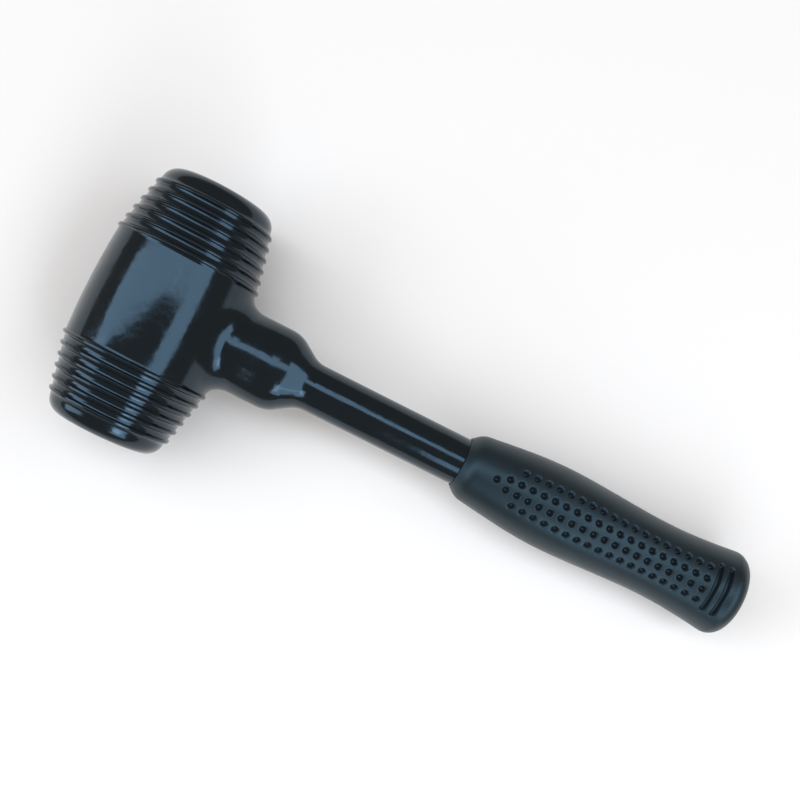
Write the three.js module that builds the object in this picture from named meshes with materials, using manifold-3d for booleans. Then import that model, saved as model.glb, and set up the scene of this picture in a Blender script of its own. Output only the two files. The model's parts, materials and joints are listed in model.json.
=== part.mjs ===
// Dead-blow plastic mallet, lying on its side as on a bench.
// Millimetres. +X runs from the head to the end of the grip, +Y along the head from face to face, +Z up.

import * as THREE from 'three';
import { mergeVertices } from 'three/addons/utils/BufferGeometryUtils.js';
import Module from 'manifold-3d';

const wasm = await Module();
wasm.setup();

// Head: a barrel with raised rings on the two tapered ends
const HEAD_LENGTH = 110;
const BELLY_DIAMETER = 62.8;
const BELLY_DROP = 0.8;
const TAPER_ANGLE = THREE.MathUtils.degToRad(13);
const RING_COUNT = 6;
const RING_PITCH = 4.55;
const RING_WIDTH = 2.4;
const RING_CREST = 0.9;
const RING_HEIGHT = 1.05;
const END_LAND = 1.7;
const FACE_CORNER = 6.5;

// Boss and neck: the plastic that runs from the head to the grip
const BOSS_WIDTH = 35;
const BOSS_ROOT_HEIGHT = 34;
const BOSS_HEIGHT = 28.5;
const BOSS_REACH = 51;
const ROOT_SPREAD = 5.3;
const ROOT_RISE = 7.5;
const ROOT_TOP_SPREAD = 7;
const ROOT_TOP_RISE = 6;
const SHOULDER_ANGLE = THREE.MathUtils.degToRad(33);
const SHOULDER_TOP_BLEND = 14;
const SHOULDER_FOOT_BLEND = 11;
const NECK_DIAMETER = 20.3;

// Grip: a thick sleeve with a swell, a waist and a flared end
const GRIP_START = 137.2;
const GRIP_LENGTH = 131.2;
const GRIP_LIP = 0.4;
const GRIP_CHAMFER_ANGLE = THREE.MathUtils.degToRad(40);
const GRIP_CHAMFER_BLEND = 2.5;
const GRIP_FRONT_DIAMETER = 28.6;
const GRIP_FRONT_SLOPE = 0.13;
const GRIP_SWELL_DIAMETER = 36;
const GRIP_SWELL_PLACE = 43.5;
const GRIP_WAIST_DIAMETER = 32.2;
const GRIP_WAIST_PLACE = 91;
const GRIP_FLARE_DIAMETER = 36.8;
const GRIP_FLARE_SLOPE = 0.12;
const GRIP_END_CORNER = 6.5;
const GRIP_END_DOME = 3;
const GRIP_END_WALL = 6.4;

// Dimples and slots on the two broad sides of the grip
const DIMPLE_DIAMETER = 3.1;
const DIMPLE_DEPTH = 2;
const DIMPLE_PITCH = 4.98;
const DIMPLE_ROW_ANGLE = THREE.MathUtils.degToRad(17.2);
const DIMPLE_ROWS = 4;
const DIMPLE_FRONT_MARGIN = 14.3;
const DIMPLE_END_MARGIN = 22.2;
const SLOT_COUNT = 2;
const SLOT_PITCH = 4.45;
const SLOT_WIDTH = 2.4;
const SLOT_DEPTH = 2;
const SLOT_HALF_ANGLE = THREE.MathUtils.degToRad(34);

// Steel inside: a capped canister with loose shot, and a rod in a socket on its side
const CANISTER_DIAMETER = 40;
const CANISTER_WALL = 2;
const FACE_WALL = 13;
const CAP_FLANGE = 2.5;
const CAP_SPIGOT = 2.5;
const SOCKET_DIAMETER = 20;
const SOCKET_REACH = 47;
const ROD_DIAMETER = 12;
const ROD_SETBACK = 4;
const SHOT_LAYERS = 5;
const SHOT_RING = 6;
const CLEARANCE = 0.3;

// Sides on the round pieces, and steps on the curves
const HEAD_SIDES = 40;
const STEM_SIDES = 32;
const GRIP_SIDES = 32;
const STEEL_SIDES = 24;
const DIMPLE_SIDES = 6;
const ARC_STEPS = 4;
const BOSS_STEPS = 4;
const SLOT_STEPS = 7;

// Sizes that follow from those above
const headHalf = HEAD_LENGTH / 2;
const bellyRadius = BELLY_DIAMETER / 2;
const lastRing = headHalf - FACE_CORNER - END_LAND;
const firstRing = lastRing - (RING_COUNT - 1) * RING_PITCH;
const bellyEnd = firstRing - RING_WIDTH / 2;
const bellyArc = (bellyEnd ** 2 + BELLY_DROP ** 2) / (2 * BELLY_DROP);
const bossHalfWidth = BOSS_WIDTH / 2;
const rootHalfHeight = BOSS_ROOT_HEIGHT / 2;
const bossHalfHeight = BOSS_HEIGHT / 2;
const neckRadius = NECK_DIAMETER / 2;
const gripEnd = GRIP_START + GRIP_LENGTH;
const gripBoreRadius = neckRadius + CLEARANCE;
const gripBoreEnd = gripEnd - GRIP_END_WALL;
const flareRadius = GRIP_FLARE_DIAMETER / 2;
const flarePlace = gripEnd - GRIP_END_DOME - GRIP_END_CORNER;
const tailEnd = gripBoreEnd - CLEARANCE;
const canisterRadius = CANISTER_DIAMETER / 2;
const canisterBore = canisterRadius - CANISTER_WALL;
const canisterHalf = headHalf - FACE_WALL;
const tubeHalf = canisterHalf - CAP_FLANGE - CLEARANCE;
const socketRadius = SOCKET_DIAMETER / 2;
const rodRadius = ROD_DIAMETER / 2;
const rodStart = canisterRadius + CLEARANCE;
const rodEnd = tailEnd - ROD_SETBACK;
const shotDiameter = (canisterBore - 2 * CLEARANCE) / 1.5;
const shotPitch = shotDiameter + CLEARANCE;
const restTilt = Math.asin((bellyRadius - flareRadius) / flarePlace);

const material = (color, roughness, metalness) =>
  new THREE.MeshStandardMaterial({ color, roughness, metalness });
const glossBlack = material(0x1f2327, 0.2, 0);
const satinGrey = material(0x33393f, 0.6, 0);
const plainSteel = material(0x9a9da0, 0.35, 1);
const shotSteel = material(0xb4b7ba, 0.25, 1);

// Solids

// A closed solid from a geometry: shared corners merged, flat triangles dropped, faces pointing out.
function solid(geometry) {
  const bare = geometry.clone();
  bare.deleteAttribute('normal');
  bare.deleteAttribute('uv');
  const merged = mergeVertices(bare, 1e-4);
  const corners = merged.getAttribute('position').array;
  const triangles = [];
  for (let i = 0; i < merged.index.count; i += 3) {
    const [a, b, c] = [0, 1, 2].map((k) => merged.index.getX(i + k));
    if (a !== b && b !== c && c !== a) triangles.push(a, b, c);
  }
  if (volume(corners, triangles) < 0) triangles.reverse();
  const mesh = new wasm.Mesh({
    numProp: 3,
    vertProperties: new Float32Array(corners),
    triVerts: new Uint32Array(triangles),
  });
  return new wasm.Manifold(mesh);
}

// Signed volume: negative when the faces point inwards.
function volume(corners, triangles) {
  const at = (i) => new THREE.Vector3().fromArray(corners, 3 * i);
  let sum = 0;
  for (let i = 0; i < triangles.length; i += 3) {
    const [a, b, c] = [at(triangles[i]), at(triangles[i + 1]), at(triangles[i + 2])];
    sum += a.dot(b.cross(c)) / 6;
  }
  return sum;
}

// A named mesh from a solid.
function piece(name, body, look) {
  const { vertProperties, triVerts } = body.getMesh();
  const geometry = new THREE.BufferGeometry();
  geometry.setAttribute('position', new THREE.BufferAttribute(new Float32Array(vertProperties), 3));
  geometry.setIndex(new THREE.BufferAttribute(new Uint32Array(triVerts), 1));
  geometry.computeVertexNormals();
  const mesh = new THREE.Mesh(geometry, look);
  mesh.name = name;
  return mesh;
}

// A turned solid about +Y from [place along the axis, radius] points.
function turnedAlongY(points, sides) {
  const profile = points.map(([place, radius]) => new THREE.Vector2(radius, place));
  return solid(new THREE.LatheGeometry(profile, sides));
}

// The same about +X.
function turnedAlongX(points, sides) {
  const profile = points.map(([place, radius]) => new THREE.Vector2(radius, place));
  return solid(new THREE.LatheGeometry(profile, sides).rotateZ(-Math.PI / 2));
}

// A plain round bar along +X or +Y, as profile points.
function barProfile(start, end, radius) {
  return [[start, 0], [start, radius], [end, radius], [end, 0]];
}

// [place, radius] points on a circle's arc, from one angle to another.
function arcPoints(place, radius, blend, from, to) {
  const points = [];
  for (let i = 0; i <= ARC_STEPS; i += 1) {
    const angle = from + ((to - from) * i) / ARC_STEPS;
    points.push([place + blend * Math.sin(angle), radius + blend * Math.cos(angle)]);
  }
  return points;
}

// [place, radius] points on a smooth curve with given slopes at its ends, without its first point.
function sweepPoints([x0, r0], slope0, [x1, r1], slope1, steps) {
  const third = (x1 - x0) / 3;
  const curve = new THREE.CubicBezierCurve(
    new THREE.Vector2(x0, r0),
    new THREE.Vector2(x0 + third, r0 + slope0 * third),
    new THREE.Vector2(x1 - third, r1 - slope1 * third),
    new THREE.Vector2(x1, r1),
  );
  return curve.getPoints(steps).slice(1).map((p) => [p.x, p.y]);
}

// Moulded cover: barrel, boss, neck and the tail under the grip

// Radius of the plain barrel at a distance from the middle of the head.
function barrelRadius(place) {
  const y = Math.abs(place);
  if (y < bellyEnd) return bellyRadius - bellyArc + Math.sqrt(bellyArc ** 2 - y ** 2);
  return bellyRadius - BELLY_DROP - (y - bellyEnd) * Math.tan(TAPER_ANGLE);
}

// Half of the barrel's outline, from the middle to the centre of the striking face.
function halfBarrel() {
  const points = [];
  for (let i = 0; i <= ARC_STEPS; i += 1) {
    const y = (bellyEnd * i) / ARC_STEPS;
    points.push([y, barrelRadius(y)]);
  }
  for (let ring = 0; ring < RING_COUNT; ring += 1) {
    const middle = firstRing + ring * RING_PITCH;
    for (const [offset, height] of [
      [-RING_WIDTH / 2, 0],
      [-RING_CREST / 2, RING_HEIGHT],
      [RING_CREST / 2, RING_HEIGHT],
      [RING_WIDTH / 2, 0],
    ]) {
      const y = middle + offset;
      if (y > bellyEnd + 1e-6) points.push([y, barrelRadius(y) + height]);
    }
  }
  const cornerPlace = headHalf - FACE_CORNER;
  const tangentPlace = cornerPlace + FACE_CORNER * Math.sin(TAPER_ANGLE);
  const faceRadius = barrelRadius(tangentPlace) - FACE_CORNER * Math.cos(TAPER_ANGLE);
  points.push(...arcPoints(cornerPlace, faceRadius, FACE_CORNER, TAPER_ANGLE, Math.PI / 2));
  points.push([headHalf, 0]);
  return points;
}

function barrel() {
  const half = halfBarrel();
  const mirrored = half.slice(1).reverse().map(([y, radius]) => [-y, radius]);
  return turnedAlongY([...mirrored, ...half], HEAD_SIDES);
}

// Half height of the shoulder and neck where the half width is given: round at the neck, flatter at the boss.
function stemHalfHeight(halfWidth) {
  const share = (halfWidth - neckRadius) / (bossHalfWidth - neckRadius);
  return THREE.MathUtils.lerp(neckRadius, bossHalfHeight, share);
}

// Outline in plan of the boss, its shoulder, the neck and the tail, from the tail's end towards the head.
function stemProfile() {
  const drop = bossHalfWidth - neckRadius;
  const blendDrop = (SHOULDER_TOP_BLEND + SHOULDER_FOOT_BLEND) * (1 - Math.cos(SHOULDER_ANGLE));
  const fit = Math.min(1, drop / blendDrop);
  const top = SHOULDER_TOP_BLEND * fit;
  const foot = SHOULDER_FOOT_BLEND * fit;
  const straightRun = (drop - blendDrop * fit) / Math.tan(SHOULDER_ANGLE);
  const footPlace = BOSS_REACH + (top + foot) * Math.sin(SHOULDER_ANGLE) + straightRun;
  return [
    [tailEnd, neckRadius],
    ...arcPoints(footPlace, neckRadius + foot, foot, Math.PI, Math.PI + SHOULDER_ANGLE),
    ...arcPoints(BOSS_REACH, bossHalfWidth - top, top, SHOULDER_ANGLE, 0),
  ];
}

// One oval ring of points round the handle's axis, with its X given for each angle.
function ovalRing(halfWidth, halfHeight, placeAt) {
  const ring = [];
  for (let i = 0; i < STEM_SIDES; i += 1) {
    const angle = (2 * Math.PI * i) / STEM_SIDES;
    ring.push(new THREE.Vector3(placeAt(angle), halfWidth * Math.cos(angle), halfHeight * Math.sin(angle)));
  }
  return ring;
}

// Where the barrel's surface lies under an oval ring, measured along X from the head's axis.
function barrelFront(halfWidth, halfHeight, angle) {
  const y = halfWidth * Math.cos(angle);
  const z = halfHeight * Math.sin(angle);
  return Math.sqrt(barrelRadius(y) ** 2 - z ** 2);
}

// How far the fillet climbs along the boss: farther at its sides than at its top and bottom.
function rootRise(angle) {
  return THREE.MathUtils.lerp(ROOT_RISE, ROOT_TOP_RISE, Math.sin(angle) ** 2);
}

// The boss between its shoulder and its root: it grows taller towards the head.
function bossRings() {
  const rootStart = (angle) => barrelFront(bossHalfWidth, rootHalfHeight, angle) + rootRise(angle);
  const rings = [];
  for (let i = 1; i < BOSS_STEPS; i += 1) {
    const share = i / BOSS_STEPS;
    const eased = THREE.MathUtils.smoothstep(share, 0, 1);
    const halfHeight = THREE.MathUtils.lerp(bossHalfHeight, rootHalfHeight, eased);
    const placeAt = (angle) => THREE.MathUtils.lerp(BOSS_REACH, rootStart(angle), share);
    rings.push(ovalRing(bossHalfWidth, halfHeight, placeAt));
  }
  return rings;
}

// The fillet from the boss out onto the barrel, and a last ring sunk inside the barrel.
function rootRings() {
  const rings = [];
  const filletSteps = ARC_STEPS + 1;
  for (let i = 0; i <= filletSteps; i += 1) {
    const turn = (Math.PI / 2) * (i / filletSteps);
    const spread = 1 - Math.cos(turn);
    const left = 1 - Math.sin(turn);
    const halfWidth = bossHalfWidth + ROOT_SPREAD * spread;
    const halfHeight = rootHalfHeight + ROOT_TOP_SPREAD * spread;
    const placeAt = (angle) => barrelFront(halfWidth, halfHeight, angle) + left * rootRise(angle);
    rings.push(ovalRing(halfWidth, halfHeight, placeAt));
  }
  const footWidth = bossHalfWidth + ROOT_SPREAD;
  const footHeight = rootHalfHeight + ROOT_TOP_SPREAD;
  const sunkAt = (angle) => barrelFront(footWidth, footHeight, angle) - ROOT_SPREAD;
  return [...rings, ovalRing(footWidth, footHeight, sunkAt)];
}

// The stem: a skin of rings from the tail's end to a fillet that lies on the barrel, closed inside it.
function stem() {
  const neckRings = stemProfile().map(([x, halfWidth]) => ovalRing(halfWidth, stemHalfHeight(halfWidth), () => x));
  const rings = [...neckRings, ...bossRings(), ...rootRings()];
  const corners = [new THREE.Vector3(tailEnd, 0, 0), ...rings.flat(), new THREE.Vector3(0, 0, 0)];
  const last = corners.length - 1;
  const triangles = [];
  for (let i = 0; i < STEM_SIDES; i += 1) {
    const next = (i + 1) % STEM_SIDES;
    triangles.push(0, 1 + i, 1 + next);
    for (let r = 0; r < rings.length - 1; r += 1) {
      const here = 1 + r * STEM_SIDES;
      const beyond = here + STEM_SIDES;
      triangles.push(here + i, beyond + i, beyond + next, here + i, beyond + next, here + next);
    }
    const end = 1 + (rings.length - 1) * STEM_SIDES;
    triangles.push(last, end + next, end + i);
  }
  const geometry = new THREE.BufferGeometry().setFromPoints(corners);
  geometry.setIndex(triangles);
  return solid(geometry);
}

// The hollow that the steel leaves in the moulding, open at the tail's end.
function steelHollow() {
  const hollowHalf = canisterHalf + CLEARANCE;
  const canister = barProfile(-hollowHalf, hollowHalf, canisterRadius + CLEARANCE);
  const socket = barProfile(0, SOCKET_REACH + CLEARANCE, socketRadius + CLEARANCE);
  const rod = barProfile(0, tailEnd + CLEARANCE, rodRadius + CLEARANCE);
  return turnedAlongY(canister, STEEL_SIDES)
    .add(turnedAlongX(socket, STEEL_SIDES))
    .add(turnedAlongX(rod, STEEL_SIDES));
}

function headCover() {
  return piece('head_cover', barrel().add(stem()).subtract(steelHollow()), glossBlack);
}

// Grip sleeve

// Outline of the grip's outer side, from its front edge to its end.
function gripProfile() {
  const lipRadius = gripBoreRadius + GRIP_LIP;
  const frontRadius = GRIP_FRONT_DIAMETER / 2;
  const cornerPlace = GRIP_START + (frontRadius - lipRadius) / Math.tan(GRIP_CHAMFER_ANGLE);
  const before = new THREE.Vector2(
    cornerPlace - GRIP_CHAMFER_BLEND * Math.cos(GRIP_CHAMFER_ANGLE),
    frontRadius - GRIP_CHAMFER_BLEND * Math.sin(GRIP_CHAMFER_ANGLE),
  );
  const after = new THREE.Vector2(
    cornerPlace + GRIP_CHAMFER_BLEND,
    frontRadius + GRIP_CHAMFER_BLEND * GRIP_FRONT_SLOPE,
  );
  const blend = new THREE.QuadraticBezierCurve(before, new THREE.Vector2(cornerPlace, frontRadius), after);
  const front = [after.x, after.y];
  const swell = [GRIP_START + GRIP_SWELL_PLACE, GRIP_SWELL_DIAMETER / 2];
  const waist = [GRIP_START + GRIP_WAIST_PLACE, GRIP_WAIST_DIAMETER / 2];
  const flare = [flarePlace, flareRadius];
  const endRadius = flareRadius - GRIP_END_CORNER;
  const endPlace = flarePlace + GRIP_END_CORNER;
  const dome = (endRadius ** 2 + GRIP_END_DOME ** 2) / (2 * GRIP_END_DOME);
  const domeAngle = Math.asin(endRadius / dome);
  const points = [
    [GRIP_START, lipRadius],
    ...blend.getPoints(ARC_STEPS).map((p) => [p.x, p.y]),
    ...sweepPoints(front, GRIP_FRONT_SLOPE, swell, 0, ARC_STEPS),
    ...sweepPoints(swell, 0, waist, 0, ARC_STEPS + 1),
    ...sweepPoints(waist, 0, flare, GRIP_FLARE_SLOPE, ARC_STEPS),
    ...arcPoints(flarePlace, endRadius, GRIP_END_CORNER, 0, Math.PI / 2).slice(1),
  ];
  for (let i = 1; i <= ARC_STEPS; i += 1) {
    const angle = domeAngle * (1 - i / ARC_STEPS);
    points.push([endPlace + GRIP_END_DOME - dome * (1 - Math.cos(angle)), dome * Math.sin(angle)]);
  }
  return points;
}

// Radius of the grip at a place along the handle, read from its outline.
function gripRadius(profile, place) {
  const after = profile.findIndex(([x]) => x > place);
  const [x0, r0] = profile[after - 1];
  const [x1, r1] = profile[after];
  return r0 + ((r1 - r0) * (place - x0)) / (x1 - x0);
}

// A short peg that sinks one dimple, at a place along the grip and an angle round it from straight up.
function dimplePeg(profile, place, angle) {
  const surface = gripRadius(profile, place);
  const length = 2 * DIMPLE_DEPTH;
  const radius = DIMPLE_DIAMETER / 2;
  const peg = new THREE.CylinderGeometry(radius, radius, length, DIMPLE_SIDES);
  peg.translate(0, surface - DIMPLE_DEPTH + length / 2, 0);
  peg.rotateX(Math.PI / 2 - angle);
  peg.translate(place, 0, 0);
  return solid(peg);
}

// A curved bar that sinks one slot across the grip.
function slotBar(profile, place, middleAngle) {
  const surface = gripRadius(profile, place);
  const shape = new THREE.Shape();
  const from = Math.PI / 2 - middleAngle - SLOT_HALF_ANGLE;
  const to = Math.PI / 2 - middleAngle + SLOT_HALF_ANGLE;
  shape.absarc(0, 0, surface + SLOT_DEPTH, from, to, false);
  shape.absarc(0, 0, surface - SLOT_DEPTH, to, from, true);
  shape.closePath();
  const bar = new THREE.ExtrudeGeometry(shape, {
    depth: SLOT_WIDTH,
    bevelEnabled: false,
    curveSegments: SLOT_STEPS,
  });
  bar.translate(0, 0, -SLOT_WIDTH / 2);
  bar.rotateY(Math.PI / 2);
  bar.rotateX(Math.PI / 2);
  bar.translate(place, 0, 0);
  return solid(bar);
}

// Every dimple and slot: full columns, then a pair and a single dimple towards the front.
function gripPattern(profile) {
  const lastColumn = gripEnd - DIMPLE_END_MARGIN;
  const firstColumn = GRIP_START + DIMPLE_FRONT_MARGIN;
  const columns = Math.floor((lastColumn - firstColumn) / DIMPLE_PITCH + 1e-6) + 1;
  const cutters = [];
  for (const side of [0, Math.PI]) {
    for (let column = 0; column < columns; column += 1) {
      const place = lastColumn - (columns - 1 - column) * DIMPLE_PITCH;
      const rows = column === 0 ? 1 : column === 1 ? DIMPLE_ROWS / 2 : DIMPLE_ROWS;
      for (let row = 0; row < rows; row += 1) {
        cutters.push(dimplePeg(profile, place, side + (row - (rows - 1) / 2) * DIMPLE_ROW_ANGLE));
      }
    }
    for (let slot = 1; slot <= SLOT_COUNT; slot += 1) {
      cutters.push(slotBar(profile, lastColumn + slot * SLOT_PITCH, side));
    }
  }
  return wasm.Manifold.union(cutters);
}

function gripSleeve() {
  const profile = gripProfile();
  const sleeve = turnedAlongX(
    [[gripBoreEnd, 0], [gripBoreEnd, gripBoreRadius], [GRIP_START, gripBoreRadius], ...profile],
    GRIP_SIDES,
  );
  return piece('grip_sleeve', sleeve.subtract(gripPattern(profile)), satinGrey);
}

// Steel inside

function canisterTube() {
  const profile = [
    [-tubeHalf, canisterBore],
    [-tubeHalf, canisterRadius],
    [tubeHalf, canisterRadius],
    [tubeHalf, canisterBore],
    [-tubeHalf, canisterBore],
  ];
  return piece('canister_tube', turnedAlongY(profile, STEEL_SIDES), plainSteel);
}

// A stepped cap: a flange over the tube's end and a spigot inside its bore.
function canisterCap(name, side) {
  const step = tubeHalf + CLEARANCE;
  const profile = [
    [side * (tubeHalf - CAP_SPIGOT), 0],
    [side * (tubeHalf - CAP_SPIGOT), canisterBore - CLEARANCE],
    [side * step, canisterBore - CLEARANCE],
    [side * step, canisterRadius],
    [side * canisterHalf, canisterRadius],
    [side * canisterHalf, 0],
  ];
  return piece(name, turnedAlongY(profile, STEEL_SIDES), plainSteel);
}

// A short tube whose end is cut to a saddle on the canister.
function rodSocket() {
  const bore = rodRadius + CLEARANCE;
  const tube = turnedAlongX(
    [[0, bore], [0, socketRadius], [SOCKET_REACH, socketRadius], [SOCKET_REACH, bore], [0, bore]],
    STEEL_SIDES,
  );
  const saddle = barProfile(-canisterHalf, canisterHalf, canisterRadius + CLEARANCE);
  return piece('rod_socket', tube.subtract(turnedAlongY(saddle, STEEL_SIDES)), plainSteel);
}

function handleRod() {
  const rod = barProfile(rodStart, rodEnd, rodRadius);
  return piece('handle_rod', turnedAlongX(rod, STEEL_SIDES), plainSteel);
}

// Loose shot: layers along the head, each with one ball in the middle and a ring of balls round it.
function shotCharge() {
  const ball = solid(new THREE.IcosahedronGeometry(shotDiameter / 2, 1));
  const balls = [];
  for (let layer = 0; layer < SHOT_LAYERS; layer += 1) {
    const y = (layer - (SHOT_LAYERS - 1) / 2) * shotPitch;
    const places = [new THREE.Vector3(0, y, 0)];
    for (let i = 0; i < SHOT_RING; i += 1) {
      const angle = (2 * Math.PI * i) / SHOT_RING;
      places.push(new THREE.Vector3(shotPitch * Math.cos(angle), y, shotPitch * Math.sin(angle)));
    }
    for (const place of places) {
      const number = String(balls.length + 1).padStart(2, '0');
      const mesh = piece(`shot_ball_${number}`, ball, shotSteel);
      mesh.position.copy(place);
      balls.push(mesh);
    }
  }
  return balls;
}

// Whole mallet, tilted so that the belly and the grip's flare rest on the bench
const mallet = new THREE.Group();
mallet.add(
  headCover(),
  gripSleeve(),
  canisterTube(),
  canisterCap('canister_cap_right', 1),
  canisterCap('canister_cap_left', -1),
  rodSocket(),
  handleRod(),
  ...shotCharge(),
);
mallet.rotation.y = restTilt;

// Origin under the middle of the mallet, on the bench
const box = new THREE.Box3().setFromObject(mallet, true);
const middle = box.getCenter(new THREE.Vector3());
mallet.position.set(-middle.x, -middle.y, -box.min.z);

export default mallet;
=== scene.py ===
"""Looks of a moulded dead-blow mallet that lies on its side on a white bench, seen from above."""

import json
import math

import bpy
import numpy as np
from mathutils import Matrix, Vector


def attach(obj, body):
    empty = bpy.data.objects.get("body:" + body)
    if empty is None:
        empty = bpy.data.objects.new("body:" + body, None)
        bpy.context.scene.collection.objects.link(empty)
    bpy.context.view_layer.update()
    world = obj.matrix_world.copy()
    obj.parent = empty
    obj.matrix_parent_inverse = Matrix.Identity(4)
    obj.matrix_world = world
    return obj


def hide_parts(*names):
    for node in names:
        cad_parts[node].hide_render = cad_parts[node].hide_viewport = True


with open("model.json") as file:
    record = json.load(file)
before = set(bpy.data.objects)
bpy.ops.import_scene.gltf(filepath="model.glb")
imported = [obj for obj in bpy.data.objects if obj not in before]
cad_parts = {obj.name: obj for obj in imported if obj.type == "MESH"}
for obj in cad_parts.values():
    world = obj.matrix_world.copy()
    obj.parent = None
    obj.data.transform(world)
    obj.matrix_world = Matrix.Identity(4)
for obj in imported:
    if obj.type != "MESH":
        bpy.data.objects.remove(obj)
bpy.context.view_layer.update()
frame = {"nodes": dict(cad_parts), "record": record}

MM = 0.001

# Sizes in millimetres, in the mallet's own axes: X along the handle from the head, Y along the head

# Barrel head and its rings
HEAD_LENGTH = 110
BELLY_RADIUS = 31.4
BELLY_DROP = 0.8
TAPER_ANGLE = math.radians(13)
RING_COUNT = 6
RING_PITCH = 4.55
RING_WIDTH = 2.4
RING_CREST = 0.8
RING_HEIGHT = 1.05
END_LAND = 1.7
FACE_CORNER = 6.5

# Boss, shoulder and neck
BOSS_HALF_WIDTH = 17.5
BOSS_HALF_HEIGHT = 14.25
BOSS_ROOT_HALF_HEIGHT = 17
BOSS_REACH = 51
ROOT_SPREAD = 5.3
ROOT_RISE = 7.5
ROOT_TOP_SPREAD = 7
ROOT_TOP_RISE = 6
SHOULDER_ANGLE = math.radians(33)
SHOULDER_TOP_BLEND = 14
SHOULDER_FOOT_BLEND = 11
NECK_RADIUS = 10.15

# Grip sleeve; its swell and its waist are each a place along the handle and a radius
GRIP_START = 137.2
GRIP_END = 268.4
GRIP_LIP = 0.4
GRIP_CHAMFER_ANGLE = math.radians(40)
GRIP_CHAMFER_BLEND = 2.5
GRIP_FRONT_RADIUS = 14.3
GRIP_FRONT_SLOPE = 0.13
GRIP_SWELL = (180.7, 18.0)
GRIP_WAIST = (228.2, 16.1)
GRIP_FLARE_RADIUS = 18.4
GRIP_FLARE_SLOPE = 0.12
GRIP_END_CORNER = 6.5
GRIP_END_DOME = 3
GRIP_END_WALL = 6.4
CLEARANCE = 0.3

# Dimples and slots in the grip; the floor is a share of their half width, the edge a soft rim beyond it
DIMPLE_RADIUS = 1.55
DIMPLE_DEPTH = 2.0
DIMPLE_PITCH = 4.98
DIMPLE_COLUMNS = 20
DIMPLE_ROWS = 4
DIMPLE_ROW_ANGLE = math.radians(17.2)
DIMPLE_END_GAP = 22.2
DIMPLE_STEPS = 16
SLOT_COUNT = 2
SLOT_PITCH = 4.45
SLOT_HALF_WIDTH = 1.2
SLOT_DEPTH = 2.0
SLOT_HALF_ANGLE = math.radians(34)
SUNK_FLOOR = 0.25
SUNK_EDGE = 0.25

# Shot in the head
SHOT_DIAMETER = 11.6
SHOT_LAYERS = 5
SHOT_RING = 6

# Sizes that follow from these
HEAD_HALF = HEAD_LENGTH / 2
LAST_RING = HEAD_HALF - FACE_CORNER - END_LAND
FIRST_RING = LAST_RING - (RING_COUNT - 1) * RING_PITCH
BELLY_END = FIRST_RING - RING_WIDTH / 2
BELLY_ARC = (BELLY_END**2 + BELLY_DROP**2) / (2 * BELLY_DROP)
GRIP_BORE_RADIUS = NECK_RADIUS + CLEARANCE
GRIP_BORE_END = GRIP_END - GRIP_END_WALL
TAIL_END = GRIP_BORE_END - CLEARANCE
FLARE_PLACE = GRIP_END - GRIP_END_DOME - GRIP_END_CORNER
LAST_DIMPLE = GRIP_END - DIMPLE_END_GAP
SHOT_PITCH = SHOT_DIAMETER + CLEARANCE

# How the mallet lies: its head's middle is half way between the faces, and its handle drops to the bench
mounts = {mount["name"]: Vector(mount["pos_m"]) for mount in frame["record"]["mounts"]}
head_middle = (mounts["striking_face_right"] + mounts["striking_face_left"]) / 2
rest_tilt = math.asin((BELLY_RADIUS - GRIP_FLARE_RADIUS) / FLARE_PLACE)
LYING = Matrix.Translation(head_middle) @ Matrix.Rotation(rest_tilt, 4, "Y")


def linear(code):
    """Linear colour from an sRGB hex code."""
    parts = [int(code[i : i + 2], 16) / 255 for i in (1, 3, 5)]
    return tuple(p / 12.92 if p <= 0.04045 else ((p + 0.055) / 1.055) ** 2.4 for p in parts) + (1.0,)


def add(tree, kind, inputs=None, **settings):
    """Adds a node with its settings.

    Each input takes a value, another node's output, or a node, which stands for its first output.
    """
    made = tree.nodes.new(kind)
    for name, value in settings.items():
        setattr(made, name, value)
    for key, value in (inputs or {}).items():
        source = value.outputs[0] if isinstance(value, bpy.types.Node) else value
        if isinstance(source, bpy.types.NodeSocket):
            tree.links.new(source, made.inputs[key])
        else:
            made.inputs[key].default_value = source
    return made


# Materials


def new_material(name):
    """An empty node material, with its tree."""
    material = bpy.data.materials.new(name)
    material.use_nodes = True
    material.node_tree.nodes.clear()
    return material, material.node_tree


def end_material(tree, inputs, **settings):
    """Ends a material's tree with a Principled surface that has these inputs and settings."""
    shader = add(tree, "ShaderNodeBsdfPrincipled", inputs, **settings)
    add(tree, "ShaderNodeOutputMaterial", {"Surface": shader})


def polished_black_pvc():
    """Black PVC from a polished mould: a mirror with slow waves of shrinkage and some handling haze."""
    wave_size = 10 * MM
    wave_depth = 0.15 * MM
    haze_size = 9 * MM
    scuff_size = 1.1 * MM
    material, tree = new_material("polished_black_pvc")
    place = add(tree, "ShaderNodeTexCoord").outputs["Object"]
    wave = add(tree, "ShaderNodeTexNoise", {"Vector": place, "Scale": 1 / wave_size, "Detail": 2.0})
    haze = add(tree, "ShaderNodeTexNoise", {"Vector": place, "Scale": 1 / haze_size, "Detail": 4.0})
    scuff = add(tree, "ShaderNodeTexNoise", {"Vector": place, "Scale": 1 / scuff_size, "Detail": 3.0})
    marks = add(tree, "ShaderNodeMath", {0: haze, 1: scuff}, operation="MULTIPLY")
    rough = add(
        tree,
        "ShaderNodeMapRange",
        {"Value": marks, "From Min": 0.15, "From Max": 0.4, "To Min": 0.1, "To Max": 0.2},
    )
    bump = add(tree, "ShaderNodeBump", {"Height": wave, "Strength": 1.0, "Distance": wave_depth})
    end_material(
        tree,
        {
            "Base Color": linear("#0F1113"),
            "Roughness": rough,
            "IOR": 1.5,
            "Specular IOR Level": 0.55,
            # Painted reflection colour: this tint paints the cool sky onto the reflections, which the PVC
            # itself gives back uncoloured
            "Specular Tint": linear("#C4EAFF"),
            "Normal": bump,
        },
    )
    return material


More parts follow.
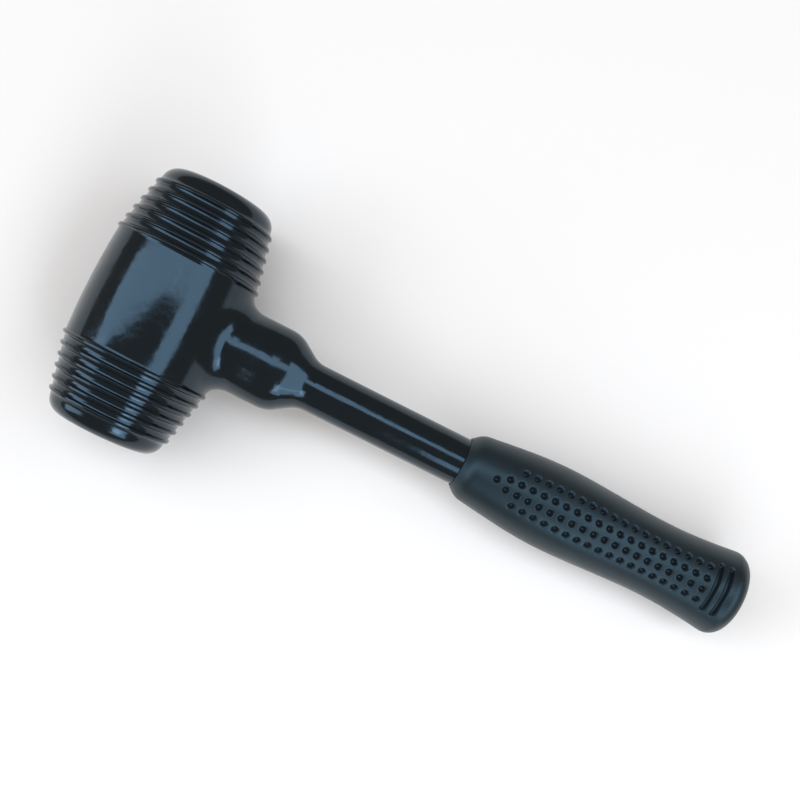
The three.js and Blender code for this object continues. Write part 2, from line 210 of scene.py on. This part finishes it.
def satin_black_pvc():
    """Softer black PVC from a fine-blasted mould: dull, with a fine even grain."""
    # The grain of such a mould is nearer to 0.1 mm, and is drawn coarser here so that it shows
    grain_size = 0.45 * MM
    grain_depth = 0.05 * MM
    cloud_size = 14 * MM
    material, tree = new_material("satin_black_pvc")
    place = add(tree, "ShaderNodeTexCoord").outputs["Object"]
    cloud = add(tree, "ShaderNodeTexNoise", {"Vector": place, "Scale": 1 / cloud_size, "Detail": 5.0})
    colour = add(
        tree,
        "ShaderNodeMix",
        {"Factor": cloud.outputs["Fac"], "A": linear("#14171A"), "B": linear("#1B1F23")},
        data_type="RGBA",
    )
    rough = add(
        tree,
        "ShaderNodeMapRange",
        {"Value": cloud, "From Min": 0.3, "From Max": 0.7, "To Min": 0.36, "To Max": 0.44},
    )
    grain = add(tree, "ShaderNodeTexNoise", {"Vector": place, "Scale": 1 / grain_size, "Detail": 2.0})
    bump = add(tree, "ShaderNodeBump", {"Height": grain, "Strength": 0.25, "Distance": grain_depth})
    end_material(
        tree,
        {
            "Base Color": colour.outputs["Result"],
            "Roughness": rough,
            "IOR": 1.5,
            "Specular IOR Level": 0.5,
            # Painted sheen colour: this tint paints the cool sky onto the sheen, which the PVC itself
            # gives back uncoloured
            "Specular Tint": linear("#C2EFFA"),
            "Normal": bump,
        },
        distribution="GGX",
    )
    return material


def bare_steel(name, dark, light, roughness, mark_length):
    """Bare steel between two greys, with fine marks mark_length times as long along the head as across."""
    mark_size = 0.8 * MM
    unevenness = 0.06
    material, tree = new_material(name)
    place = add(tree, "ShaderNodeTexCoord").outputs["Object"]
    drawn_out = add(tree, "ShaderNodeMapping", {"Vector": place, "Scale": (1.0, 1 / mark_length, 1.0)})
    marks = add(tree, "ShaderNodeTexNoise", {"Vector": drawn_out, "Scale": 1 / mark_size, "Detail": 3.0})
    colour = add(
        tree,
        "ShaderNodeMix",
        {"Factor": marks.outputs["Fac"], "A": linear(dark), "B": linear(light)},
        data_type="RGBA",
    )
    rough = add(
        tree,
        "ShaderNodeMapRange",
        {"Value": marks, "To Min": roughness - unevenness, "To Max": roughness + unevenness},
    )
    end_material(tree, {"Base Color": colour.outputs["Result"], "Metallic": 1.0, "Roughness": rough})
    return material


def tumbled_steel_shot():
    """Steel balls tumbled smooth: bright, with fine marks that run no special way."""
    return bare_steel("tumbled_steel_shot", "#A4A7AA", "#BFC2C4", roughness=0.22, mark_length=1.0)


def drawn_steel():
    """Drawn steel left bare: a duller grey, with long fine lines from the die."""
    return bare_steel("drawn_steel", "#84888B", "#A9ACAE", roughness=0.34, mark_length=12.5)


def matt_white_paint():
    """White paint rolled on a board: no gloss, and warm enough to look white in the cool light."""
    material, tree = new_material("matt_white_paint")
    end_material(tree, {"Base Color": linear("#FBEDDE"), "Roughness": 0.9, "Specular IOR Level": 0.0})
    return material


# Meshes


def mesh_object(name, points, faces, edges=()):
    """A smooth mesh object from points in millimetres in the mallet's own axes."""
    mesh = bpy.data.meshes.new(name)
    mesh.from_pydata((np.asarray(points) * MM).tolist(), edges, faces)
    mesh.shade_smooth()
    thing = bpy.data.objects.new(name, mesh)
    bpy.context.scene.collection.objects.link(thing)
    return thing


def close_ring(points, faces, ring, tip, flip=False):
    """Closes a ring of point numbers with a fan of triangles to a new point, its tip."""
    points.append(tip)
    centre = len(points) - 1
    for k, here in enumerate(ring):
        after = ring[(k + 1) % len(ring)]
        faces.append((centre, after, here) if flip else (centre, here, after))


def arc(place, radius, blend, start, end, steps):
    """[place, radius] points on a circle's arc."""
    angles = np.linspace(start, end, steps + 1)
    return [(place + blend * math.sin(a), radius + blend * math.cos(a)) for a in angles]


def new_tree(name, sockets):
    """An empty Geometry Nodes tree with named inputs, which come back by name beside the tree."""
    tree = bpy.data.node_groups.new(name, "GeometryNodeTree")
    tree.interface.new_socket("Geometry", in_out="OUTPUT", socket_type="NodeSocketGeometry")
    tree.interface.new_socket("Geometry", in_out="INPUT", socket_type="NodeSocketGeometry")
    for label, kind in sockets.items():
        tree.interface.new_socket(label, in_out="INPUT", socket_type=kind)
    entry = add(tree, "NodeGroupInput")
    return tree, {socket.name: socket for socket in entry.outputs if socket.name}


def end_tree(tree, geometry, material):
    """Ends a Geometry Nodes tree with real geometry and its material."""
    real = add(tree, "GeometryNodeRealizeInstances", {"Geometry": geometry})
    dressed = add(tree, "GeometryNodeSetMaterial", {"Geometry": real, "Material": material})
    add(tree, "NodeGroupOutput", {0: dressed})


def run_tree(thing, tree, values):
    """Runs a tree on an object and keeps the result as a plain mesh, laid on the bench."""
    modifier = thing.modifiers.new(tree.name, "NODES")
    modifier.node_group = tree
    for item in tree.interface.items_tree:
        if item.item_type == "SOCKET" and item.in_out == "INPUT" and item.name in values:
            modifier[item.identifier] = values[item.name]
    graph = bpy.context.evaluated_depsgraph_get()
    result = bpy.data.meshes.new_from_object(thing.evaluated_get(graph))
    thing.modifiers.remove(modifier)
    thing.data = result
    thing.data.shade_smooth()
    thing.data.transform(LYING)
    return thing


# Cover: barrel, boss and neck in one skin


def barrel_radius(y):
    """Radius of the plain barrel at a distance from the head's middle."""
    y = np.abs(y)
    belly = BELLY_RADIUS - BELLY_ARC + np.sqrt(BELLY_ARC**2 - np.minimum(y, BELLY_END) ** 2)
    return belly - np.maximum(y - BELLY_END, 0) * math.tan(TAPER_ANGLE)


def half_barrel():
    """[place, radius] from the belly's end, past the rings, not yet raised, and well in over the face."""
    ring_steps = 10
    corner_steps = 12
    smallest_step = 0.3
    face_shares = (0.85, 0.6, 0.35, 0.15)
    ring_offsets = np.linspace(-RING_WIDTH / 2, RING_WIDTH / 2, ring_steps + 1)
    places = []
    for ring in range(RING_COUNT):
        middle = FIRST_RING + ring * RING_PITCH
        places.extend(middle + ring_offsets)
        places.append(middle + RING_PITCH / 2)
    corner_place = HEAD_HALF - FACE_CORNER
    tangent_place = corner_place + FACE_CORNER * math.sin(TAPER_ANGLE)
    face_radius = barrel_radius(tangent_place) - FACE_CORNER * math.cos(TAPER_ANGLE)
    side = [(y, float(barrel_radius(y))) for y in places[1:] if y < tangent_place - smallest_step]
    corner = arc(corner_place, face_radius, FACE_CORNER, TAPER_ANGLE, math.pi / 2, corner_steps)
    face = [(HEAD_HALF, face_radius * share) for share in face_shares]
    return side + corner + face


def stem_half_height(half_width):
    """Half height of the shoulder or neck for its half width: round at the neck, flatter at the boss."""
    share = (half_width - NECK_RADIUS) / (BOSS_HALF_WIDTH - NECK_RADIUS)
    return NECK_RADIUS + share * (BOSS_HALF_HEIGHT - NECK_RADIUS)


def stem_profile():
    """[place, half width] from the start of the boss's shoulder to the tail's end."""
    blend_steps = 14
    neck_steps = 25
    drop = BOSS_HALF_WIDTH - NECK_RADIUS
    blends = SHOULDER_TOP_BLEND + SHOULDER_FOOT_BLEND
    straight = (drop - blends * (1 - math.cos(SHOULDER_ANGLE))) / math.tan(SHOULDER_ANGLE)
    foot_place = BOSS_REACH + blends * math.sin(SHOULDER_ANGLE) + straight
    top = arc(
        BOSS_REACH,
        BOSS_HALF_WIDTH - SHOULDER_TOP_BLEND,
        SHOULDER_TOP_BLEND,
        0,
        SHOULDER_ANGLE,
        blend_steps,
    )
    foot = arc(
        foot_place,
        NECK_RADIUS + SHOULDER_FOOT_BLEND,
        SHOULDER_FOOT_BLEND,
        math.pi + SHOULDER_ANGLE,
        math.pi,
        blend_steps,
    )
    neck = [(x, NECK_RADIUS) for x in np.linspace(foot_place, TAIL_END, neck_steps + 1)[1:]]
    return top + foot + neck


def cover_mesh():
    """Points and faces of the cover: a barrel with a window in front, and a stem out of that window."""
    around = 192
    window = 32
    belly_steps = 40
    turn = 2 * math.pi / around
    half = half_barrel()
    belly = [(y, float(barrel_radius(y))) for y in np.linspace(-BELLY_END, BELLY_END, belly_steps + 1)]
    profile = [(-y, r) for y, r in reversed(half)] + belly + half
    first_belly = len(half)
    last_belly = first_belly + belly_steps
    points = []
    faces = []
    for y, radius in profile:
        for k in range(around):
            angle = k * turn
            points.append((radius * math.cos(angle), y, radius * math.sin(angle)))
    for row in range(len(profile) - 1):
        here = row * around
        there = here + around
        for k in range(around):
            signed = k if k < around // 2 else k - around
            if first_belly <= row < last_belly and -window <= signed < window:
                continue
            after = (k + 1) % around
            faces.append((here + k, there + k, there + after, here + after))
    last_row = (len(profile) - 1) * around
    close_ring(points, faces, range(around), (0.0, -HEAD_HALF, 0.0))
    close_ring(points, faces, range(last_row, last_row + around), (0.0, HEAD_HALF, 0.0), flip=True)
    # The window's rim, in order round the handle's axis
    rim = [last_belly * around + k % around for k in range(-window, window)]
    rim += [row * around + window for row in range(last_belly, first_belly, -1)]
    rim += [first_belly * around + k % around for k in range(window, -window, -1)]
    rim += [row * around + around - window for row in range(first_belly, last_belly)]
    add_stem(points, faces, rim)
    return points, faces


def stem_rings(corners):
    """Rings of points from the window's rim: over the barrel, up the fillet, along the boss and neck."""
    saddle_steps = 6
    fillet_steps = 16
    boss_steps = 16
    bearing = np.arctan2(corners[:, 2], corners[:, 1])
    rim_turn = np.arctan2(corners[:, 2], corners[:, 0])
    foot_width = BOSS_HALF_WIDTH + ROOT_SPREAD
    foot_y = foot_width * np.cos(bearing)
    foot_height = BOSS_ROOT_HALF_HEIGHT + ROOT_TOP_SPREAD
    foot_turn = np.arcsin(foot_height * np.sin(bearing) / barrel_radius(foot_y))
    rise = ROOT_RISE + (ROOT_TOP_RISE - ROOT_RISE) * np.sin(bearing) ** 2
    rings = []
    for share in np.linspace(0, 1, saddle_steps + 1)[1:]:
        y = corners[:, 1] * (1 - share) + foot_y * share
        angle = rim_turn * (1 - share) + foot_turn * share
        radius = barrel_radius(y)
        rings.append(np.stack([radius * np.cos(angle), y, radius * np.sin(angle)], 1))
    for angle in np.linspace(math.pi / 2, 0, fillet_steps + 1)[1:]:
        spread = 1 - math.cos(angle)
        y = (BOSS_HALF_WIDTH + ROOT_SPREAD * spread) * np.cos(bearing)
        z = (BOSS_ROOT_HALF_HEIGHT + ROOT_TOP_SPREAD * spread) * np.sin(bearing)
        x = np.sqrt(barrel_radius(y) ** 2 - z**2) + rise * (1 - math.sin(angle))
        rings.append(np.stack([x, y, z], 1))
    start = rings[-1]
    for share in np.linspace(0, 1, boss_steps + 1)[1:-1]:
        ring = start.copy()
        ring[:, 0] = start[:, 0] * (1 - share) + BOSS_REACH * share
        eased = share**2 * (3 - 2 * share)
        ring[:, 2] *= 1 + eased * (BOSS_HALF_HEIGHT / BOSS_ROOT_HALF_HEIGHT - 1)
        rings.append(ring)
    for x, half_width in stem_profile():
        y = half_width * np.cos(bearing)
        z = stem_half_height(half_width) * np.sin(bearing)
        rings.append(np.stack([np.full(len(corners), x), y, z], 1))
    return rings


def add_stem(points, faces, rim):
    """Adds the stem's skin from the window's rim to the tail's end."""
    count = len(rim)
    here = rim
    for ring in stem_rings(np.array([points[i] for i in rim])):
        there = range(len(points), len(points) + count)
        points.extend(map(tuple, ring))
        for k in range(count):
            after = (k + 1) % count
            faces.append((here[k], here[after], there[after], there[k]))
        here = there
    close_ring(points, faces, here, (TAIL_END, 0.0, 0.0))


def raised_rings_tree():
    """Raises evenly spaced round rings on both ends of the barrel."""
    tree, given = new_tree(
        "raised_rings",
        {
            "First Ring": "NodeSocketFloat",
            "Pitch": "NodeSocketFloat",
            "Count": "NodeSocketInt",
            "Width": "NodeSocketFloat",
            "Crest": "NodeSocketFloat",
            "Height": "NodeSocketFloat",
            "Material": "NodeSocketMaterial",
        },
    )
    place = add(tree, "GeometryNodeInputPosition")
    axes = add(tree, "ShaderNodeSeparateXYZ", {0: place})
    along = add(tree, "ShaderNodeMath", {0: axes.outputs["Y"]}, operation="ABSOLUTE")
    past_first = add(tree, "ShaderNodeMath", {0: along, 1: given["First Ring"]}, operation="SUBTRACT")
    number = add(tree, "ShaderNodeMath", {0: past_first, 1: given["Pitch"]}, operation="DIVIDE")
    nearest = add(tree, "ShaderNodeMath", {0: number}, operation="ROUND")
    last = add(tree, "ShaderNodeMath", {0: given["Count"], 1: 1.0}, operation="SUBTRACT")
    ring = add(tree, "ShaderNodeClamp", {"Value": nearest, "Min": 0.0, "Max": last})
    ring_place = add(tree, "ShaderNodeMath", {0: ring, 1: given["Pitch"]}, operation="MULTIPLY")
    away = add(tree, "ShaderNodeMath", {0: past_first, 1: ring_place}, operation="SUBTRACT")
    distance = add(tree, "ShaderNodeMath", {0: away}, operation="ABSOLUTE")
    half_width = add(tree, "ShaderNodeMath", {0: given["Width"], 1: 0.5}, operation="MULTIPLY")
    half_crest = add(tree, "ShaderNodeMath", {0: given["Crest"], 1: 0.5}, operation="MULTIPLY")
    rise = add(
        tree,
        "ShaderNodeMapRange",
        {
            "Value": distance,
            "From Min": half_crest,
            "From Max": half_width,
            "To Min": given["Height"],
            "To Max": 0.0,
        },
        interpolation_type="SMOOTHSTEP",
    )
    sideways = add(tree, "ShaderNodeCombineXYZ", {"X": axes.outputs["X"], "Z": axes.outputs["Z"]})
    outward = add(tree, "ShaderNodeVectorMath", {0: sideways}, operation="NORMALIZE")
    shift = add(tree, "ShaderNodeVectorMath", {0: outward, "Scale": rise}, operation="SCALE")
    moved = add(tree, "GeometryNodeSetPosition", {"Geometry": given["Geometry"], "Offset": shift})
    end_tree(tree, moved, given["Material"])
    return tree


def make_cover(material):
    """The glossy one-piece cover."""
    cover = run_tree(
        mesh_object("cover_skin", *cover_mesh()),
        raised_rings_tree(),
        {
            "First Ring": FIRST_RING * MM,
            "Pitch": RING_PITCH * MM,
            "Count": RING_COUNT,
            "Width": RING_WIDTH * MM,
            "Crest": RING_CREST * MM,
            "Height": RING_HEIGHT * MM,
            "Material": material,
        },
    )
    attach(cover, "mallet")
    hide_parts("head_cover")


# Grip sleeve


def hermite(start, slope_start, end, slope_end, x):
    """Radius at x on a smooth curve between two [place, radius] points with given slopes."""
    width = end[0] - start[0]
    t = (x - start[0]) / width
    rise = (t**3 - 2 * t**2 + t) * slope_start + (t**3 - t**2) * slope_end
    return (2 * t**3 - 3 * t**2 + 1) * start[1] + (3 * t**2 - 2 * t**3) * end[1] + rise * width


def grip_front():
    """[place, radius] of the sleeve's lip and chamfer, with a rounded shoulder."""
    chamfer_steps = 6
    bend_steps = 10
    lip = GRIP_BORE_RADIUS + GRIP_LIP
    chamfer_length = (GRIP_FRONT_RADIUS - lip) / math.tan(GRIP_CHAMFER_ANGLE)
    start = np.array([GRIP_START, lip])
    corner = np.array([GRIP_START + chamfer_length, GRIP_FRONT_RADIUS])
    up_chamfer = np.array([math.cos(GRIP_CHAMFER_ANGLE), math.sin(GRIP_CHAMFER_ANGLE)])
    before = corner - GRIP_CHAMFER_BLEND * up_chamfer
    after = corner + GRIP_CHAMFER_BLEND * np.array([1, GRIP_FRONT_SLOPE])
    straight = [start * (1 - t) + before * t for t in np.linspace(0, 1, chamfer_steps + 1)[:-1]]
    bend = [
        before * (1 - t) ** 2 + 2 * corner * t * (1 - t) + after * t**2
        for t in np.linspace(0, 1, bend_steps + 1)
    ]
    return [tuple(point) for point in straight + bend]


def grip_radius(x):
    """Radius of the plain sleeve between its front shoulder and its flare."""
    front = grip_front()[-1]
    if x < GRIP_SWELL[0]:
        return hermite(front, GRIP_FRONT_SLOPE, GRIP_SWELL, 0, x)
    if x < GRIP_WAIST[0]:
        return hermite(GRIP_SWELL, 0, GRIP_WAIST, 0, x)
    return hermite(GRIP_WAIST, 0, (FLARE_PLACE, GRIP_FLARE_RADIUS), GRIP_FLARE_SLOPE, x)


def grip_profile():
    """[place, radius] of the whole sleeve: out along its bore, then over its outside to its domed end."""
    bore_steps = 11
    lead_steps = 7
    corner_steps = 14
    dome_steps = 12
    fine = DIMPLE_PITCH / DIMPLE_STEPS
    bore = [(x, GRIP_BORE_RADIUS) for x in np.linspace(GRIP_BORE_END, GRIP_START, bore_steps + 1)]
    front = grip_front()
    pattern_start = LAST_DIMPLE - (DIMPLE_COLUMNS - 0.5) * DIMPLE_PITCH
    lead = np.linspace(front[-1][0], pattern_start, lead_steps + 1)[1:-1]
    pattern = np.arange(pattern_start, FLARE_PLACE - fine / 2, fine)
    side = [(x, grip_radius(x)) for x in [*lead, *pattern]]
    end_radius = GRIP_FLARE_RADIUS - GRIP_END_CORNER
    corner = arc(FLARE_PLACE, end_radius, GRIP_END_CORNER, 0, math.pi / 2, corner_steps)
    dome = (end_radius**2 + GRIP_END_DOME**2) / (2 * GRIP_END_DOME)
    dome_angle = math.asin(end_radius / dome)
    dome_middle = FLARE_PLACE + GRIP_END_CORNER + GRIP_END_DOME - dome
    cap = arc(dome_middle, 0, dome, math.pi / 2 - dome_angle, math.pi / 2, dome_steps)[1:-1]
    return bore + front + side + corner + cap


def grip_angles():
    """Angles round the sleeve from straight up: close over the pattern, wider on its plain sides."""
    pattern_sides = 76
    plain_sides = 28
    reach = pattern_sides / 2 * DIMPLE_ROW_ANGLE / DIMPLE_STEPS
    over = np.linspace(-reach, reach, pattern_sides + 1)[:-1]
    beside = np.linspace(reach, math.pi - reach, plain_sides + 1)[:-1]
    return np.concatenate([over, beside, over + math.pi, beside + math.pi])


def grip_mesh():
    """Points and faces of the sleeve, closed at the bottom of its bore and at its domed end."""
    angles = grip_angles()
    around = len(angles)
    profile = grip_profile()
    points = []
    faces = []
    for x, radius in profile:
        points.extend((x, radius * math.sin(a), radius * math.cos(a)) for a in angles)
    for row in range(len(profile) - 1):
        here = row * around
        there = here + around
        for k in range(around):
            after = (k + 1) % around
            faces.append((here + k, there + k, there + after, here + after))
    last_row = (len(profile) - 1) * around
    close_ring(points, faces, range(around), (GRIP_BORE_END, 0.0, 0.0))
    close_ring(points, faces, range(last_row, last_row + around), (GRIP_END, 0.0, 0.0), flip=True)
    return points, faces


def on_sleeve(x, angle):
    """The point on the plain sleeve at a place along the handle and an angle from straight up."""
    radius = grip_radius(x)
    return (x, radius * math.sin(angle), radius * math.cos(angle))


def dimple_guide():
    """Loose points at the dimples' middles, on the top and the underside, as a helper object."""
    points = []
    for side in (0, math.pi):
        for column in range(DIMPLE_COLUMNS):
            x = LAST_DIMPLE - column * DIMPLE_PITCH
            # The two columns nearest the head have fewer rows, so that the pattern ends in a point
            rows = min(max(2 * (DIMPLE_COLUMNS - 1 - column), 1), DIMPLE_ROWS)
            for row in range(rows):
                angle = (row - (rows - 1) / 2) * DIMPLE_ROW_ANGLE
                points.append(on_sleeve(x, angle + side))
    return mesh_object("dimple_middles", points, [])


def slot_guide():
    """Lines along the slots' middles, on the top and the underside, as a helper object."""
    steps = 24
    points = []
    edges = []
    for side in (0, math.pi):
        for slot in range(1, SLOT_COUNT + 1):
            x = LAST_DIMPLE + slot * SLOT_PITCH
            first = len(points)
            for angle in np.linspace(-SLOT_HALF_ANGLE, SLOT_HALF_ANGLE, steps + 1):
                points.append(on_sleeve(x, angle + side))
            edges.extend((first + i, first + i + 1) for i in range(steps))
    return mesh_object("slot_middles", points, [], edges)


def sunk_pattern_tree():
    """Sinks round dimples and rounded slots where guide points and lines lie on a sleeve along X."""
    tree, given = new_tree(
        "sunk_pattern",
        {
            "Dimple Middles": "NodeSocketObject",
            "Dimple Radius": "NodeSocketFloat",
            "Dimple Depth": "NodeSocketFloat",
            "Slot Middles": "NodeSocketObject",
            "Slot Half Width": "NodeSocketFloat",
            "Slot Depth": "NodeSocketFloat",
            "Floor": "NodeSocketFloat",
            "Edge": "NodeSocketFloat",
            "Bore Radius": "NodeSocketFloat",
            "Material": "NodeSocketMaterial",
        },
    )
    sinks = []
    for guide, reach, depth, element in (
        ("Dimple Middles", "Dimple Radius", "Dimple Depth", "POINTS"),
        ("Slot Middles", "Slot Half Width", "Slot Depth", "EDGES"),
    ):
        source = add(tree, "GeometryNodeObjectInfo", {"Object": given[guide]}, transform_space="ORIGINAL")
        shape = source.outputs["Geometry"]
        near = add(tree, "GeometryNodeProximity", {0: shape}, target_element=element)
        inner = add(tree, "ShaderNodeMath", {0: given[reach], 1: given["Floor"]}, operation="MULTIPLY")
        outer = add(tree, "ShaderNodeMath", {0: given[reach], 1: given["Edge"]}, operation="ADD")
        sink = add(
            tree,
            "ShaderNodeMapRange",
            {
                "Value": near.outputs["Distance"],
                "From Min": inner,
                "From Max": outer,
                "To Min": given[depth],
                "To Max": 0.0,
            },
            interpolation_type="SMOOTHSTEP",
        )
        sinks.append(sink)
    deepest = add(tree, "ShaderNodeMath", {0: sinks[0], 1: sinks[1]}, operation="MAXIMUM")
    place = add(tree, "GeometryNodeInputPosition")
    axes = add(tree, "ShaderNodeSeparateXYZ", {0: place})
    sideways = add(tree, "ShaderNodeCombineXYZ", {"Y": axes.outputs["Y"], "Z": axes.outputs["Z"]})
    radius = add(tree, "ShaderNodeVectorMath", {0: sideways}, operation="LENGTH").outputs["Value"]
    outside = add(tree, "ShaderNodeMath", {0: radius, 1: given["Bore Radius"]}, operation="GREATER_THAN")
    outer_sink = add(tree, "ShaderNodeMath", {0: deepest, 1: outside}, operation="MULTIPLY")
    inward = add(tree, "ShaderNodeMath", {0: outer_sink, 1: -1.0}, operation="MULTIPLY")
    outward = add(tree, "ShaderNodeVectorMath", {0: sideways}, operation="NORMALIZE")
    shift = add(tree, "ShaderNodeVectorMath", {0: outward, "Scale": inward}, operation="SCALE")
    moved = add(tree, "GeometryNodeSetPosition", {"Geometry": given["Geometry"], "Offset": shift})
    end_tree(tree, moved, given["Material"])
    return tree


def make_grip(material):
    """The dull sleeve with its dimples and slots on the top and the underside."""
    bore_margin = 1
    dimples = dimple_guide()
    slots = slot_guide()
    grip = run_tree(
        mesh_object("grip_skin", *grip_mesh()),
        sunk_pattern_tree(),
        {
            "Dimple Middles": dimples,
            "Dimple Radius": DIMPLE_RADIUS * MM,
            "Dimple Depth": DIMPLE_DEPTH * MM,
            "Slot Middles": slots,
            "Slot Half Width": SLOT_HALF_WIDTH * MM,
            "Slot Depth": SLOT_DEPTH * MM,
            "Floor": SUNK_FLOOR,
            "Edge": SUNK_EDGE * MM,
            "Bore Radius": (GRIP_BORE_RADIUS + bore_margin) * MM,
            "Material": material,
        },
    )
    for guide in (dimples, slots):
        bpy.data.objects.remove(guide)
    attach(grip, "mallet")
    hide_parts("grip_sleeve")


# Shot and the steel inside


def shot_tree():
    """Layers of round balls along Y, each a middle ball with a ring of balls round it."""
    tree, given = new_tree(
        "shot_layers",
        {
            "Layers": "NodeSocketInt",
            "Ring": "NodeSocketInt",
            "Pitch": "NodeSocketFloat",
            "Ball Radius": "NodeSocketFloat",
            "Material": "NodeSocketMaterial",
        },
    )
    middle = add(tree, "GeometryNodeMeshLine", {"Count": 1})
    ring = add(tree, "GeometryNodeMeshCircle", {"Vertices": given["Ring"], "Radius": given["Pitch"]})
    turned = add(tree, "GeometryNodeTransform", {"Geometry": ring, "Rotation": (math.pi / 2, 0.0, 0.0)})
    layer = add(tree, "GeometryNodeJoinGeometry")
    for piece in (middle, turned):
        tree.links.new(piece.outputs[0], layer.inputs[0])
    gaps = add(tree, "ShaderNodeMath", {0: given["Layers"], 1: 1.0}, operation="SUBTRACT")
    length = add(tree, "ShaderNodeMath", {0: gaps, 1: given["Pitch"]}, operation="MULTIPLY")
    back = add(tree, "ShaderNodeMath", {0: length, 1: -0.5}, operation="MULTIPLY")
    start = add(tree, "ShaderNodeCombineXYZ", {"Y": back})
    step = add(tree, "ShaderNodeCombineXYZ", {"Y": given["Pitch"]})
    line = add(
        tree,
        "GeometryNodeMeshLine",
        {"Count": given["Layers"], "Start Location": start, "Offset": step},
    )
    layers = add(tree, "GeometryNodeInstanceOnPoints", {"Points": line, "Instance": layer})
    middles = add(tree, "GeometryNodeRealizeInstances", {"Geometry": layers})
    ball = add(tree, "GeometryNodeMeshIcoSphere", {"Radius": given["Ball Radius"], "Subdivisions": 4})
    balls = add(tree, "GeometryNodeInstanceOnPoints", {"Points": middles, "Instance": ball})
    end_tree(tree, balls, given["Material"])
    return tree


def make_shot(material):
    """The loose charge of steel shot in the head, which the tree makes all of from one starting point."""
    shot = run_tree(
        mesh_object("steel_shot", [(0, 0, 0)], []),
        shot_tree(),
        {
            "Layers": SHOT_LAYERS,
            "Ring": SHOT_RING,
            "Pitch": SHOT_PITCH * MM,
            "Ball Radius": SHOT_DIAMETER / 2 * MM,
            "Material": material,
        },
    )
    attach(shot, "shot_charge")
    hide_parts(*[name for name in frame["nodes"] if name.startswith("shot_ball_")])


def dress_steel(material):
    """The canister, its caps, the socket and the rod keep their own shapes."""
    for name in ("canister_tube", "canister_cap_right", "canister_cap_left", "rod_socket", "handle_rod"):
        mesh = frame["nodes"][name].data
        mesh.materials.clear()
        mesh.materials.append(material)


# Bench, light and camera, with distances and places in metres

BENCH_SIZE = 16
SKY_COLOUR = "#D3E7FF"
SKY_RADIANCE = 3.6
ROOM_COLOUR = "#D6CBBE"
ROOM_STRENGTH = 0.42
WINDOW_DISTANCE = 2
NEAR_DISTANCE = 0.36
LOW_DISTANCE = 0.8
GRIP_TOP = Vector((0.095, 0, 0.03))
GRIP_MIDDLE = Vector((0.09, 0, 0.02))


def make_bench(material):
    """A plain bench top, lit like the rest."""
    bpy.ops.mesh.primitive_plane_add(size=BENCH_SIZE)
    bench = bpy.context.object
    bench.name = "bench"
    bench.data.materials.append(material)


def make_panel(name, across, along, distance, twist=0, aim=head_middle):
    """A soft rectangular lamp over a part of the sky, in degrees from straight up as its aim sees it."""
    middle_across, middle_along = (math.radians(sum(span) / 2) for span in (across, along))
    half_across, half_along = (math.radians(span[1] - span[0]) / 2 for span in (across, along))
    lamp = bpy.data.lights.new(name, "AREA")
    lamp.shape = "RECTANGLE"
    lamp.size = 2 * distance * math.tan(half_across)
    lamp.size_y = 2 * distance * math.tan(half_along)
    lamp.energy = SKY_RADIANCE * math.pi * lamp.size * lamp.size_y
    lamp.color = linear(SKY_COLOUR)[:3]
    turn = Matrix.Rotation(middle_across, 4, "Y") @ Matrix.Rotation(-middle_along, 4, "X")
    turn = turn @ Matrix.Rotation(math.radians(twist), 4, "Z")
    thing = bpy.data.objects.new(name, lamp)
    thing.matrix_world = Matrix.Translation(aim) @ turn @ Matrix.Translation((0, 0, distance))
    thing.visible_camera = False
    bpy.context.scene.collection.objects.link(thing)


def make_light():
    """Cool light from four windows round the head and two low ones by the grip, in a dim warm room."""
    make_panel("left_window", (-76, -40), (-36, -9), WINDOW_DISTANCE)
    make_panel("far_window", (-62, 8), (-5, 19), WINDOW_DISTANCE, twist=15)
    make_panel("far_right_window", (8.5, 32), (4.4, 19), WINDOW_DISTANCE)
    make_panel("right_window", (32, 55), (-36, 30), WINDOW_DISTANCE)
    make_panel("near_window", (-7, 7), (-56, -34), NEAR_DISTANCE, aim=GRIP_TOP)
    make_panel("grip_window", (20, 46), (-62, -38), LOW_DISTANCE, aim=GRIP_MIDDLE)
    world = bpy.data.worlds.new("room")
    world.use_nodes = True
    back = world.node_tree.nodes["Background"]
    back.inputs["Color"].default_value = linear(ROOM_COLOUR)
    back.inputs["Strength"].default_value = ROOM_STRENGTH
    bpy.context.scene.world = world


def make_camera():
    """The photograph's view: from above, with the handle running down to the right."""
    target = Vector((-15.3, 11.6, 26.3)) * MM
    distance = 441.7 * MM
    lean = math.radians(2.66)
    roll = math.radians(26.62)
    lens = bpy.data.cameras.new("camera")
    lens.sensor_width = 36
    lens.lens = 47.97
    lens.clip_start = 0.01
    thing = bpy.data.objects.new("camera", lens)
    turn = Matrix.Rotation(lean, 4, "X") @ Matrix.Rotation(roll, 4, "Z")
    thing.matrix_world = Matrix.Translation(target) @ turn @ Matrix.Translation((0, 0, distance))
    bpy.context.scene.collection.objects.link(thing)
    bpy.context.scene.camera = thing


make_cover(polished_black_pvc())
make_grip(satin_black_pvc())
make_shot(tumbled_steel_shot())
dress_steel(drawn_steel())
make_bench(matt_white_paint())
make_light()
make_camera()
bpy.context.scene.view_settings.view_transform = "Standard"
